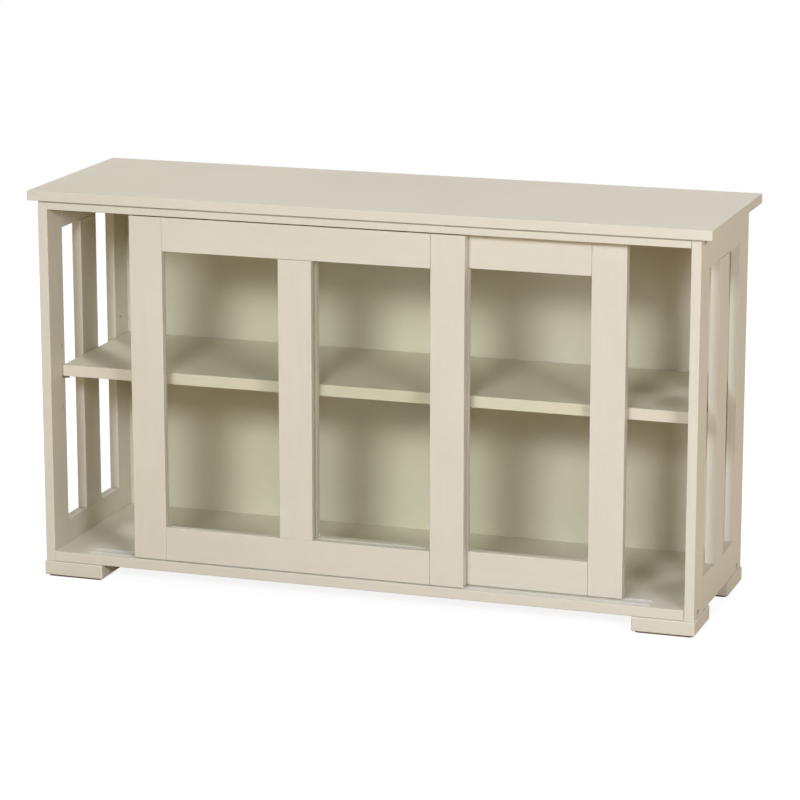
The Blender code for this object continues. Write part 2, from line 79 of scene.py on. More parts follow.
camera = bpy.data.objects.new("camera", bpy.data.cameras.new("camera"))
camera.location = EYE
camera.rotation_euler = (math.pi / 2 - EYE_DROP, 0.0, EYE_TURN)
camera.data.lens = LENS
camera.data.sensor_width = SENSOR
bpy.context.scene.collection.objects.link(camera)
bpy.context.scene.camera = camera
bpy.context.scene.view_settings.view_transform = "Standard"


# The floor and the light
# A pale studio floor that takes the cabinet's shadow and runs out to white, under a faint sky. A
# broad lamp stands in front, a weaker one at the right, one hangs overhead, and three stand behind.
# Only the one overhead shows in reflections: the low ones would glare on the top.
FLOOR_REACH = 14.0
FLOOR_DROP = 0.0003
FLOOR_TONE = (0.56, 0.43, 0.28, 1.0)
FLOOR_SEEN_TONE = (0.22, 0.22, 0.22, 1.0)
FLOOR_SEEN_GLOW = 0.88
WHITE_FROM = 1.2
WHITE_BY = 3.0
SKY_TONE = (1.0, 0.83, 0.56, 1.0)
SKY_STRENGTH = 0.17
WHITE = (1.0, 1.0, 1.0, 1.0)
MIRRORED_SHARE = 0.25
LAMP_AIM = (0.0, 0.0, 0.30)
LAMPS = (
    ("front_lamp", (-0.07, -4.60, 2.34), (1.50, 0.92), 128.0, (0.93, 1.0, 1.15)),
    ("top_lamp", (0.0, -0.37, 4.48), (1.20, 1.20), 50.5, (0.96, 0.95, 1.02)),
    ("right_lamp", (2.30, -2.45, 1.40), (1.00, 1.00), 47.0, (1.0, 1.01, 1.22)),
    ("rear_left_lamp", (-2.92, 2.45, 2.07), (1.20, 1.20), 86.0, (0.99, 1.0, 1.06)),
    ("rear_right_lamp", (2.92, 2.45, 2.07), (1.20, 1.20), 32.0, (0.98, 0.98, 1.0)),
    ("rear_lamp", (0.0, 3.90, 1.70), (1.60, 1.60), 46.0, (0.94, 1.03, 1.34)),
)
MIRRORED_LAMP = "top_lamp"


class Signal:
    """One output of a node. Arithmetic on it adds Math nodes."""

    def __init__(self, socket):
        self.socket = socket

    def combined(self, operation, first, second):
        node = self.socket.id_data.nodes.new("ShaderNodeMath")
        node.operation = operation
        plug(node.inputs[0], first)
        plug(node.inputs[1], second)
        return Signal(node.outputs[0])

    def __add__(self, other):
        return self.combined("ADD", self, other)

    def __radd__(self, other):
        return self.combined("ADD", other, self)

    def __sub__(self, other):
        return self.combined("SUBTRACT", self, other)

    def __mul__(self, other):
        return self.combined("MULTIPLY", self, other)

    def __rmul__(self, other):
        return self.combined("MULTIPLY", other, self)


def plug(socket, value):
    """Links a signal to an input, or sets the input's own value."""
    if isinstance(value, Signal):
        socket.id_data.links.new(value.socket, socket)
    else:
        socket.default_value = value


class Recipe:
    """The nodes of a material or of the world."""

    def __init__(self, owner):
        owner.use_nodes = True
        self.owner = owner
        self.tree = owner.node_tree
        self.tree.nodes.clear()

    def add(self, kind, settings=(), sockets=(), output=0):
        node = self.tree.nodes.new("ShaderNode" + kind)
        for name, value in dict(settings).items():
            setattr(node, name, value)
        for name, value in dict(sockets).items():
            plug(node.inputs[name], value)
        return Signal(node.outputs[output]) if node.outputs else node

    def blend(self, factor, first, second):
        """A colour between two others."""
        return self.add("Mix", {"data_type": "RGBA"}, {0: factor, 6: first, 7: second}, output=2)

    def mixed(self, factor, first, second):
        """A shader between two others."""
        return self.add("MixShader", sockets={0: factor, 1: first, 2: second})

    def noise(self, size, detail=2.0, length=1.0, axis="x"):
        """Soft noise with features of about that size, and length times as long along the axis."""
        place = self.add("TexCoord", output="Object")
        scale = [1.0 / (size * (length if letter == axis else 1.0)) for letter in "xyz"]
        scaled = self.add("Mapping", sockets={"Vector": place, "Scale": scale})
        return self.add("TexNoise", sockets={"Vector": scaled, "Scale": 1.0, "Detail": detail})

    def relief(self, height, depth, beneath=None):
        """A surface raised by height, which runs from 0 to 1, times depth in metres."""
        sockets = {"Height": height, "Distance": depth, "Strength": 1.0}
        if beneath:
            sockets["Normal"] = beneath
        return self.add("Bump", sockets=sockets)

    def finish(self, kind, shader):
        self.add("Output" + kind, sockets={"Surface": shader})
        return self.owner


def swing(pattern, reach):
    """A pattern that runs about 0.5, made to run about 0 and as far as reach says."""
    return (pattern - 0.5) * reach


def seen_directly(recipe):
    """1 for a look from the camera or through glass, a share for reflections, 0 for falling light."""
    camera_look = recipe.add("LightPath", output="Is Camera Ray")
    glass_look = recipe.add("LightPath", output="Is Transmission Ray")
    mirror_look = recipe.add("LightPath", output="Is Glossy Ray")
    return camera_look + glass_look + mirror_look * MIRRORED_SHARE


def to_object(name, shape):
    """An object at the origin with the bmesh as its mesh."""
    mesh = bpy.data.meshes.new(name)
    shape.to_mesh(mesh)
    shape.free()
    piece = bpy.data.objects.new(name, mesh)
    bpy.context.scene.collection.objects.link(piece)
    return piece


def add_lamp(name, place, spread, power, tone):
    lamp = bpy.data.objects.new(name, bpy.data.lights.new(name, "AREA"))
    lamp.data.shape = "ELLIPSE"
    lamp.data.size, lamp.data.size_y = spread
    lamp.data.energy = power
    lamp.data.color = tone
    lamp.location = place
    lamp.rotation_euler = (Vector(LAMP_AIM) - Vector(place)).to_track_quat("-Z", "Y").to_euler()
    lamp.visible_glossy = name == MIRRORED_LAMP
    bpy.context.scene.collection.objects.link(lamp)


floor_recipe = Recipe(bpy.data.materials.new("studio_floor"))
fallen_on = floor_recipe.add("BsdfDiffuse", sockets={"Color": FLOOR_TONE})
shaded = floor_recipe.add("BsdfDiffuse", sockets={"Color": FLOOR_SEEN_TONE})
glow = floor_recipe.add("Emission", sockets={"Color": WHITE, "Strength": FLOOR_SEEN_GLOW})
near_floor = floor_recipe.add("AddShader", sockets={0: shaded, 1: glow})
far_floor = floor_recipe.add("Emission", sockets={"Color": WHITE, "Strength": 1.0})
floor_place = floor_recipe.add("TexCoord", output="Object")
away = floor_recipe.add("VectorMath", {"operation": "LENGTH"}, {0: floor_place}, output="Value")
farness = floor_recipe.add("MapRange", {"interpolation_type": "SMOOTHSTEP"}, {
    "Value": away, "From Min": WHITE_FROM, "From Max": WHITE_BY,
})
looked_at = floor_recipe.mixed(farness, near_floor, far_floor)
floor_shape = bmesh.new()
bmesh.ops.create_grid(floor_shape, x_segments=1, y_segments=1, size=FLOOR_REACH)
bmesh.ops.translate(floor_shape, vec=(0.0, 0.0, -FLOOR_DROP), verts=floor_shape.verts)
floor = to_object("studio_floor", floor_shape)
floor.data.materials.append(floor_recipe.finish(
    "Material", floor_recipe.mixed(seen_directly(floor_recipe), fallen_on, looked_at),
))

sky_recipe = Recipe(bpy.data.worlds.new("studio_sky"))
sky_light = sky_recipe.add("Background", sockets={"Color": SKY_TONE, "Strength": SKY_STRENGTH})
sky_seen = sky_recipe.add("Background", sockets={"Color": WHITE, "Strength": 1.0})
bpy.context.scene.world = sky_recipe.finish(
    "World", sky_recipe.mixed(seen_directly(sky_recipe), sky_light, sky_seen),
)

for lamp_facts in LAMPS:
    add_lamp(*lamp_facts)


# The bottom board
# A painted board of fine fibre, between the two side frames and flush with their front edges. Two
# beds for the door tracks are milled in its top, and screws from the sides go into its ends.
SIDES = (("left", -1), ("right", 1))
TRACKS = ("front_bottom_track", "rear_bottom_track")
CLEARANCE = 0.0003
OVERRUN = 0.002
BOARD_EDGE = 0.0012
EDGE_STEPS = 4
BORE_SIDES = 24
CORNER_STEPS = 8
TRACK_END_SHARE = 0.98
SHANK_BORE = 0.0028
SMOOTH_ANGLE = math.radians(35)
FLAT_ENOUGH = 0.9999

PAINT_LIGHT = (0.662, 0.628, 0.503, 1.0)
PAINT_DARK = (0.634, 0.598, 0.475, 1.0)
# The roundings' colour: partly thin paint, partly a painted highlight.
THIN_PAINT_AND_HIGHLIGHT = (0.668, 0.634, 0.510, 1.0)
THIN_PAINT_AND_HIGHLIGHT_SHARE = 0.5
PAINT_INDEX = 1.46
PAINT_SHEEN = 0.42
PAINT_SHINE = 0.45
DRIFT_SIZE, DRIFT_TONE = 0.34, 2.4
CLOUD_SIZE, CLOUD_TONE, CLOUD_SHEEN = 0.035, 1.2, 0.14
SPECK_SIZE, SPECK_TONE, SPECK_SHEEN = 0.0045, 0.6, 0.06
EDGE_SHEEN = 0.20
PEEL_SIZE, PEEL_RISE, PEEL_DEPTH = 0.0030, 0.7, 0.00006
RIPPLE_SIZE, RIPPLE_RISE = 0.014, 0.3
PORE_SIZE, PORE_LENGTH, PORE_TONE, PORE_RISE = 0.0011, 30.0, 0.7, 0.6
FIGURE_SIZE, FIGURE_LENGTH, FIGURE_TONE, FIGURE_RISE = 0.011, 9.0, 1.1, 0.4
GRAIN_DEPTH = 0.00007


def cream_paint(
    name, tones=(PAINT_DARK, PAINT_LIGHT), sheen=PAINT_SHEEN, mottle=1.0, peel_depth=PEEL_DEPTH,
    grain_axis=None,
):
    """Sprayed satin paint: clouds of tone, a fine orange peel, and edges with thin, duller paint.

    The roundings are painted a little lighter, partly for the thin paint and partly as a painted
    highlight. On solid wood the grain, which runs along an axis, still shows faintly through it.
    """
    recipe = Recipe(bpy.data.materials.new(name))
    drift = recipe.noise(DRIFT_SIZE)
    cloud = recipe.noise(CLOUD_SIZE, detail=3.0)
    speck = recipe.noise(SPECK_SIZE)
    edge = recipe.add("Attribute", {"attribute_name": "edge"}, output="Fac")
    mottling = swing(drift, DRIFT_TONE) + swing(cloud, CLOUD_TONE) + swing(speck, SPECK_TONE)
    tone = 0.5 + mottle * mottling
    peel = recipe.noise(PEEL_SIZE) * PEEL_RISE
    ripple = recipe.noise(RIPPLE_SIZE, detail=1.0) * RIPPLE_RISE
    bump = recipe.relief(peel + ripple, peel_depth)
    if grain_axis:
        pores = recipe.noise(PORE_SIZE, length=PORE_LENGTH, axis=grain_axis)
        figure = recipe.noise(FIGURE_SIZE, length=FIGURE_LENGTH, axis=grain_axis)
        tone = tone + swing(figure, FIGURE_TONE) + swing(pores, PORE_TONE)
        bump = recipe.relief(pores * PORE_RISE + figure * FIGURE_RISE, GRAIN_DEPTH, beneath=bump)
    colour = recipe.blend(tone, *tones)
    shader = recipe.add("BsdfPrincipled", sockets={
        # Lighter on the roundings: partly thin paint, partly a painted highlight.
        "Base Color": recipe.blend(edge * THIN_PAINT_AND_HIGHLIGHT_SHARE, colour, THIN_PAINT_AND_HIGHLIGHT),
        "Roughness": (
            sheen + swing(cloud, CLOUD_SHEEN) + swing(speck, SPECK_SHEEN) + edge * EDGE_SHEEN
        ),
        "IOR": PAINT_INDEX,
        "Specular IOR Level": PAINT_SHINE,
        "Normal": bump,
    })
    return recipe.finish("Material", shader)


board_paint = cream_paint("cream_paint_on_board")
wood_paint = {axis: cream_paint(f"cream_paint_on_wood_{axis}", grain_axis=axis) for axis in "xyz"}


def box_between(low, high):
    """A box as a bmesh, from its lowest corner to its highest."""
    low = Vector(low)
    high = Vector(high)
    shape = bmesh.new()
    bmesh.ops.create_cube(shape, size=1.0)
    bmesh.ops.scale(shape, vec=high - low, verts=shape.verts)
    bmesh.ops.translate(shape, vec=(low + high) / 2, verts=shape.verts)
    return shape


def edges_along(shape, axes):
    """The edges that run along one of the axes."""
    chosen = []
    for edge in shape.edges:
        run = edge.verts[1].co - edge.verts[0].co
        along = max(range(3), key=lambda axis: abs(run[axis]))
        if "xyz"[along] in axes:
            chosen.append(edge)
    return chosen


def sharp_edges(shape):
    return [edge for edge in shape.edges if edge.calc_face_angle() > SMOOTH_ANGLE]


def rounded(shape, edges, radius, steps=EDGE_STEPS):
    bmesh.ops.bevel(
        shape, geom=edges, offset=radius, offset_type="OFFSET", affect="EDGES", segments=steps,
        profile=0.5, material=-1, clamp_overlap=True,
    )
    return shape


def board(low, high, axes, radius=BOARD_EDGE, steps=EDGE_STEPS):
    """A box whose edges along the axes are rounded."""
    shape = box_between(low, high)
    return rounded(shape, edges_along(shape, axes), radius, steps)


def rod(radius, length, sides):
    """A straight rod along X, around the origin."""
    shape = bmesh.new()
    bmesh.ops.create_cone(
        shape, cap_ends=True, segments=sides, radius1=radius, radius2=radius, depth=length,
    )
    bmesh.ops.rotate(shape, matrix=Matrix.Rotation(math.pi / 2, 3, "Y"), verts=shape.verts)
    return shape


def bore(node, start, end, radius, raised=0.0):
    """A round cutter along X from start to end, at the middle of a node or raised from there."""
    low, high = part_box(node)
    middle = (low + high) / 2
    shape = rod(radius, abs(end - start), BORE_SIDES)
    place = ((start + end) / 2, middle.y, middle.z + raised)
    bmesh.ops.translate(shape, vec=place, verts=shape.verts)
    return shape


def evaluated_mesh(piece):
    return bpy.data.meshes.new_from_object(
        piece.evaluated_get(bpy.context.evaluated_depsgraph_get())
    )


def worked(name, shape, joined=(), cut=()):
    """A piece with its tenons joined and its mortises, grooves and holes cut."""
    piece = to_object(name, shape)
    tools = []
    for operation, shapes in (("UNION", joined), ("DIFFERENCE", cut)):
        for tool_shape in shapes:
            tool = to_object(f"{name}_tool", tool_shape)
            step = piece.modifiers.new(tool.name, "BOOLEAN")
            step.operation = operation
            step.object = tool
            step.solver = "EXACT"
            tools.append(tool)
    if tools:
        piece.data = evaluated_mesh(piece)
        piece.modifiers.clear()
    for tool in tools:
        bpy.data.objects.remove(tool)
    return piece


def mark_roundings(mesh):
    """Stores 1 at the points inside a rounding, and 0 at those that a flat face touches."""
    values = [1.0] * len(mesh.vertices)
    for face in mesh.polygons:
        if max(abs(part) for part in face.normal) > FLAT_ENOUGH:
            for corner in face.vertices:
                values[corner] = 0.0
    mesh.attributes.new("edge", "FLOAT", "POINT").data.foreach_set("value", values)


def fit(piece, node, finish):
    """Shades the piece, gives it its finish and lets it stand for a node, on that node's body."""
    piece.data.shade_smooth()
    piece.data.set_sharp_from_angle(angle=SMOOTH_ANGLE)
    even = piece.modifiers.new("even_faces", "WEIGHTED_NORMAL")
    even.keep_sharp = True
    mark_roundings(piece.data)
    piece.data.materials.clear()
    piece.data.materials.append(finish)
    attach(piece, frame["nodes"][node]["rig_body"])
    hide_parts(node)
    return piece


def grown(span):
    """A span of two corners with the clearance added all round."""
    margin = Vector((CLEARANCE, CLEARANCE, CLEARANCE))
    return span[0] - margin, span[1] + margin


def screw_bores(level):
    """The bores of a board's four screws, each from past the head to just past the point."""
    bores = []
    for side, sign in SIDES:
        for place in ("front", "rear"):
            node = f"{side}_{level}_{place}_screw"
            low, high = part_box(node)
            inner, outer = (low.x, high.x) if sign > 0 else (high.x, low.x)
            bores.append(bore(node, outer + sign * OVERRUN, inner - sign * CLEARANCE, SHANK_BORE))
    return bores


beds = []
for track in TRACKS:
    bed_low, bed_high = grown(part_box(track))
    bed_high.z += OVERRUN
    bed = box_between(bed_low, bed_high)
    bed_end = (bed_high.y - bed_low.y) / 2 * TRACK_END_SHARE
    beds.append(rounded(bed, edges_along(bed, "z"), bed_end, CORNER_STEPS))

fit(
    worked(
        "bottom_panel_painted", board(*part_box("bottom_panel"), "x"),
        cut=beds + screw_bores("bottom"),
    ),
    "bottom_panel", board_paint,
)


# The side frames
# Each is two stiles, a top and a bottom rail and one broad slat of painted wood, tenoned and glued.
# The rear stiles are rebated for the back, and all have rows of holes for the shelf pins. A narrow
# rebate across the front stiles and the sub-top leaves a shadow line under the top.
SIDE_TENON_THICKNESS = 0.005
SIDE_TENON_SHOULDER = 0.009
PIN_HOLE_RADIUS = 0.0028
PIN_HOLE_DEPTH = 0.0103
PIN_PITCH = 0.049
HEAD_DEPTH = 0.003
SHADOW_LINE_HEIGHT = 0.0022
SHADOW_LINE_DEPTH = 0.0036


def shadow_line(low, high):
    """A cutter along the upper front edge of a board or stile, for the line under the top."""
    return box_between(
        (low.x - OVERRUN, low.y - OVERRUN, high.z - SHADOW_LINE_HEIGHT),
        (high.x + OVERRUN, low.y + SHADOW_LINE_DEPTH, high.z + OVERRUN),
    )


def tenon_bar(node, along, across, thickness, shoulder):
    """The bar whose two ends are a node's tenons, as long as the node and inside it elsewhere."""
    low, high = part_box(node)
    middle = (low + high) / 2
    for axis, letter in enumerate("xyz"):
        if letter == across:
            low[axis] = middle[axis] - thickness / 2
            high[axis] = middle[axis] + thickness / 2
        elif letter != along:
            low[axis] += shoulder
            high[axis] -= shoulder
    return low, high


back_low, back_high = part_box("back_panel")

for side, sign in SIDES:
    front_low, front_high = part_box(f"{side}_side_front_stile")
    rear_low, rear_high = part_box(f"{side}_side_rear_stile")
    outer = rear_high.x if sign > 0 else rear_low.x
    inner = rear_low.x if sign > 0 else rear_high.x

    tenon = (SIDE_TENON_THICKNESS, SIDE_TENON_SHOULDER)
    rail_bars = [
        tenon_bar(f"{side}_side_{place}_rail", "y", "x", *tenon) for place in ("bottom", "top")
    ]
    slat_bar = tenon_bar(f"{side}_side_slat", "z", "x", *tenon)

    rebate_x = sorted((inner - sign * OVERRUN, sign * (back_high.x + CLEARANCE)))
    rebate = (
        (rebate_x[0], back_low.y - CLEARANCE, rear_low.z - OVERRUN),
        (rebate_x[1], rear_high.y + OVERRUN, rear_high.z + OVERRUN),
    )
    for place, span, extra in (
        ("front", (front_low, front_high), shadow_line(front_low, front_high)),
        ("rear", (rear_low, rear_high), box_between(*rebate)),
    ):
        cuts = [box_between(*grown(bar)) for bar in rail_bars]
        cuts.append(extra)
        for row in (-1, 0, 1):
            cuts.append(bore(
                f"{side}_{place}_shelf_pin", inner - sign * OVERRUN, inner + sign * PIN_HOLE_DEPTH,
                PIN_HOLE_RADIUS, row * PIN_PITCH,
            ))
        for level in ("bottom", "top"):
            screw = f"{side}_{level}_{place}_screw"
            low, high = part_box(screw)
            head_face = high.x if sign > 0 else low.x
            head_radius = (high.z - low.z) / 2
            cuts.append(bore(
                screw, outer + sign * OVERRUN, head_face - sign * (HEAD_DEPTH + CLEARANCE),
                head_radius + CLEARANCE,
            ))
            cuts.append(bore(screw, head_face, inner - sign * OVERRUN, SHANK_BORE))
        node = f"{side}_side_{place}_stile"
        piece = worked(f"{node}_painted", board(*span, "z"), cut=cuts)
        fit(piece, node, wood_paint["z"])

    levels = {}
    for place, bar in zip(("bottom", "top"), rail_bars):
        node = f"{side}_side_{place}_rail"
        low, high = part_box(node)
        levels[place] = (low.z, high.z)
        low.y = front_high.y + CLEARANCE
        high.y = rear_low.y - CLEARANCE
        fit(
            worked(
                f"{node}_painted", board(low, high, "y"), [box_between(*bar)],
                [box_between(*grown(slat_bar))],
            ),
            node, wood_paint["y"],
        )

    node = f"{side}_side_slat"
    low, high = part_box(node)
    low.z = levels["bottom"][1] + CLEARANCE
    high.z = levels["top"][0] - CLEARANCE
    fit(
        worked(f"{node}_painted", board(low, high, "z"), [box_between(*slat_bar)]),
        node, wood_paint["z"],
    )


# The door tracks
# White plastic strips with round ends, pressed into the bottom board and a little proud of it. The
# doors' glides run in a groove along the middle, whose lips are softened.
GROOVE_WIDTH = 0.0046
GROOVE_DEPTH = 0.003
GROOVE_END = 0.004
LIP_RADIUS = 0.0004
FINE_STEPS = 2
FLAT_SLACK = 0.00002
FLOW_SIZE, FLOW_LENGTH, FLOW_TONE, FLOW_SHEEN = 0.006, 9.0, 1.6, 0.10
MOULD_GRAIN_TONE, MOULD_GRAIN_SHEEN = 0.5, 0.12
# The lighter tone along a moulding's roundings is a painted highlight.
MOULD_EDGE_HIGHLIGHT, MOULD_EDGE_SHEEN = 0.2, 0.06
TRACK_TONES = ((0.64, 0.615, 0.535, 1.0), (0.70, 0.675, 0.595, 1.0))


def moulded_plastic(name, tones, sheen, grain_size, grain_depth):
    """Moulded plastic: faint flow marks along its length and a fine grain."""
    recipe = Recipe(bpy.data.materials.new(name))
    flow = recipe.noise(FLOW_SIZE, length=FLOW_LENGTH)
    grain = recipe.noise(grain_size)
    edge = recipe.add("Attribute", {"attribute_name": "edge"}, output="Fac")
    marks = 0.5 + swing(flow, FLOW_TONE) + swing(grain, MOULD_GRAIN_TONE)
    dullness = sheen + swing(flow, FLOW_SHEEN) + swing(grain, MOULD_GRAIN_SHEEN)
    shader = recipe.add("BsdfPrincipled", sockets={
        # Lighter along the roundings: a painted highlight.
        "Base Color": recipe.blend(marks + edge * MOULD_EDGE_HIGHLIGHT, *tones),
        "Roughness": dullness - edge * MOULD_EDGE_SHEEN,
        "Normal": recipe.relief(grain, grain_depth),
    })
    return recipe.finish("Material", shader)


track_plastic = moulded_plastic(
    "track_plastic", TRACK_TONES, sheen=0.34, grain_size=0.0012, grain_depth=0.00002,
)


def groove_cutter(low, high, floor_level, ceiling_level):
    """A cutter for a groove along the middle of a strip's box, between two levels."""
    middle = (low.y + high.y) / 2
    return box_between(
        (low.x + GROOVE_END, middle - GROOVE_WIDTH / 2, floor_level),
        (high.x - GROOVE_END, middle + GROOVE_WIDTH / 2, ceiling_level),
    )


def soften_rim(piece, level, radius, steps):
    """Rounds the sharp edges of the piece's upper face."""
    shape = bmesh.new()
    shape.from_mesh(piece.data)
    rim = []
    for edge in shape.edges:
        on_top = all(abs(point.co.z - level) < FLAT_SLACK for point in edge.verts)
        if on_top and len(edge.link_faces) == 2 and edge.calc_face_angle() > SMOOTH_ANGLE:
            rim.append(edge)
    rounded(shape, rim, radius, steps)
    shape.to_mesh(piece.data)
    shape.free()
    return piece


for track in TRACKS:
    low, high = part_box(track)
    strip = box_between(low, high)
    strip_end = (high.y - low.y) / 2 * TRACK_END_SHARE
    rounded(strip, edges_along(strip, "z"), strip_end, CORNER_STEPS)
    groove = groove_cutter(low, high, high.z - GROOVE_DEPTH, high.z + OVERRUN)
    piece = worked(f"{track}_moulded", strip, cut=[groove])
    fit(soften_rim(piece, high.z, LIP_RADIUS, FINE_STEPS), track, track_plastic)


# The sub-top
# A painted board between the side frames, right under the top. The doors' guides run in two
# grooves milled in its underside, above the tracks. The shadow line runs along its front.
GUIDE_GROOVE_DEPTH = 0.008
SUB_TOP_EDGE = 0.0007

sub_low, sub_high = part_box("sub_top")
guide_grooves = [
    groove_cutter(*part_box(track), sub_low.z - OVERRUN, sub_low.z + GUIDE_GROOVE_DEPTH)
    for track in TRACKS
]
fit(
    worked(
        "sub_top_painted", board(sub_low, sub_high, "x", SUB_TOP_EDGE),
        cut=[*guide_grooves, shadow_line(sub_low, sub_high), *screw_bores("top")],
    ),
    "sub_top", board_paint,
)


# The screws
# Plated steel screws through the side frames into the ends of the two long boards, two a board at
# each side. Their heads lie just under the surface, with a hexagonal socket and a broken edge.
SCREW_CORE = 0.0019
SCREW_CREST = 0.0025
THREAD_PITCH = 0.0018
THREAD_START = 0.010
POINT_LENGTH = 0.004
HEAD_CHAMFER = 0.0004
SOCKET_RADIUS = 0.0023
SOCKET_DEPTH = 0.002
SOCKET_SIDES = 6
TURN_STEPS = 32
WELD = 0.00001
ROOT_FROM, ROOT_TO = 0.35, 0.65
STEEL_TONES = ((0.34, 0.315, 0.28, 1.0), (0.50, 0.47, 0.425, 1.0))
STEEL_SHEEN = 0.38
PLATING_SIZE, PLATING_TONE, PLATING_SHEEN = 0.0022, 2.5, 0.3
SCRATCH_SIZE, SCRATCH_LENGTH, SCRATCH_SHEEN, SCRATCH_DEPTH = 0.0004, 12.0, 0.2, 0.00001


def plated_steel(name):
    """Dull plated steel with cloudy plating and fine scratches."""
    recipe = Recipe(bpy.data.materials.new(name))
    plating = recipe.noise(PLATING_SIZE, detail=3.0)
    scratch = recipe.noise(SCRATCH_SIZE, length=SCRATCH_LENGTH)
    shader = recipe.add("BsdfPrincipled", sockets={
        "Base Color": recipe.blend(0.5 + swing(plating, PLATING_TONE), *STEEL_TONES),
        "Metallic": 1.0,
        "Roughness": STEEL_SHEEN + swing(plating, PLATING_SHEEN) + swing(scratch, SCRATCH_SHEEN),
        "Normal": recipe.relief(scratch, SCRATCH_DEPTH),
    })
    return recipe.finish("Material", shader)


steel = plated_steel("plated_steel")


def turned(profile):
    """A profile of distance along X and radius, turned about X."""
    shape = bmesh.new()
    points = [shape.verts.new((along, radius, 0.0)) for along, radius in profile]
    edges = [shape.edges.new(pair) for pair in zip(points, points[1:])]
    bmesh.ops.spin(
        shape, geom=points + edges, cent=(0, 0, 0), axis=(1, 0, 0), angle=math.tau,
        steps=TURN_STEPS, use_merge=True,
    )
    bmesh.ops.remove_doubles(shape, verts=shape.verts, dist=WELD)
    bmesh.ops.recalc_face_normals(shape, faces=shape.faces)
    return shape


def screw_profile(length, head_radius):
    """From the middle of the head's face, along X to the point."""
    profile = [
        (0.0, 0.0), (0.0, head_radius - HEAD_CHAMFER), (HEAD_CHAMFER, head_radius),
        (HEAD_DEPTH, head_radius), (HEAD_DEPTH, SCREW_CREST), (THREAD_START, SCREW_CREST),
    ]
    along = THREAD_START
    while along + THREAD_PITCH < length - POINT_LENGTH:
        profile.append((along + THREAD_PITCH * ROOT_FROM, SCREW_CORE))
        profile.append((along + THREAD_PITCH * ROOT_TO, SCREW_CORE))
        profile.append((along + THREAD_PITCH, SCREW_CREST))
        along += THREAD_PITCH
    profile.append((length - POINT_LENGTH, SCREW_CORE))
    profile.append((length, 0.0))
    return profile


for side, sign in SIDES:
    for level in ("bottom", "top"):
        for place in ("front", "rear"):
            node = f"{side}_{level}_{place}_screw"
            low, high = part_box(node)
            head = Vector((high.x if sign > 0 else low.x, (low.y + high.y) / 2, (low.z + high.z) / 2))
            shape = turned(screw_profile(high.x - low.x, (high.z - low.z) / 2))
            socket = rod(SOCKET_RADIUS, 2 * SOCKET_DEPTH, SOCKET_SIDES)
            screw = worked(f"{node}_turned", shape, cut=[socket])
            if sign > 0:
                screw.data.transform(Matrix.Rotation(math.pi, 4, "Z"))
            screw.data.transform(Matrix.Translation(head))
            fit(screw, node, steel)


# The shelf and its pins
# A loose painted board on four spoon pins of plated steel, whose round shanks are pushed into the
# stiles' holes and whose flat blades lie under the shelf's corners.
SHANK_RADIUS = 0.0025
SHANK_CHAMFER = 0.0005
BLADE_THICKNESS = 0.002
BLADE_CORNER = 0.0030
BLADE_EASE = 0.0003
# The shelf's paint is warmer than the rest's: painted shade, for the warm shade inside.
SHELF_SHADE_TONES = ((0.640, 0.598, 0.456, 1.0), (0.668, 0.628, 0.484, 1.0))

shelf_shade_paint = cream_paint("shelf_shade_paint", SHELF_SHADE_TONES)
fit(worked("shelf_painted", board(*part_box("shelf"), "x")), "shelf", shelf_shade_paint)

for side, sign in SIDES:
    for place in ("front", "rear"):
        node = f"{side}_{place}_shelf_pin"
        low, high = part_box(node)
        middle = (low + high) / 2
        stile_low, stile_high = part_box(f"{side}_side_{place}_stile")
        stile_face = stile_low.x if sign > 0 else stile_high.x
        blade_tip = low.x if sign > 0 else high.x
        blade_root = stile_face - sign * CLEARANCE
        shank_end = high.x if sign > 0 else low.x
        blade_x = sorted((blade_tip, blade_root))
        blade_floor = middle.z - BLADE_THICKNESS
        blade = box_between(
            (blade_x[0], low.y, blade_floor), (blade_x[1], high.y, blade_floor + BLADE_THICKNESS),
        )
        free_corners = [
            edge for edge in edges_along(blade, "z") if abs(edge.verts[0].co.x - blade_tip) < WELD
        ]
        rounded(blade, free_corners, BLADE_CORNER, CORNER_STEPS)
        rounded(blade, sharp_edges(blade), BLADE_EASE, FINE_STEPS)
        shank_length = abs(shank_end - stile_face) + CLEARANCE
        shank = turned((
            (0.0, 0.0), (0.0, SHANK_RADIUS), (shank_length - SHANK_CHAMFER, SHANK_RADIUS),
            (shank_length, SHANK_RADIUS - SHANK_CHAMFER), (shank_length, 0.0),
        ))
        if sign < 0:
            bmesh.ops.rotate(shank, matrix=Matrix.Rotation(math.pi, 3, "Z"), verts=shank.verts)
        bmesh.ops.translate(shank, vec=(blade_root, middle.y, middle.z), verts=shank.verts)
        fit(worked(f"{node}_pressed", blade, [shank]), node, steel)


# The back
# A thin hard board, painted like the rest and let into rebates of the rear stiles. It is stapled to
# the stiles and to the two long boards from behind.
BACK_EDGE = 0.0004
STAPLE_PITCH = 0.094
STAPLE_CROWN = 0.0105
STAPLE_WIRE = 0.0012
STAPLE_PROUD = 0.0005
STAPLE_INSET = 0.0033
STAPLE_EASE_SHARE = 0.45
# The back's paint is warmer than the rest's: painted shade, for the warm shade inside.
BACK_SHADE_TONES = ((0.648, 0.608, 0.462, 1.0), (0.678, 0.638, 0.490, 1.0))
BACK_SHEEN = 0.50
BACK_MOTTLE = 1.5
BACK_PEEL_DEPTH = 0.00010

back_shade_paint = cream_paint("back_board_shade_paint", BACK_SHADE_TONES, BACK_SHEEN, BACK_MOTTLE, BACK_PEEL_DEPTH)
fit(
    worked("back_panel_painted", board(back_low, back_high, "xyz", BACK_EDGE, FINE_STEPS)),
    "back_panel", back_shade_paint,
)


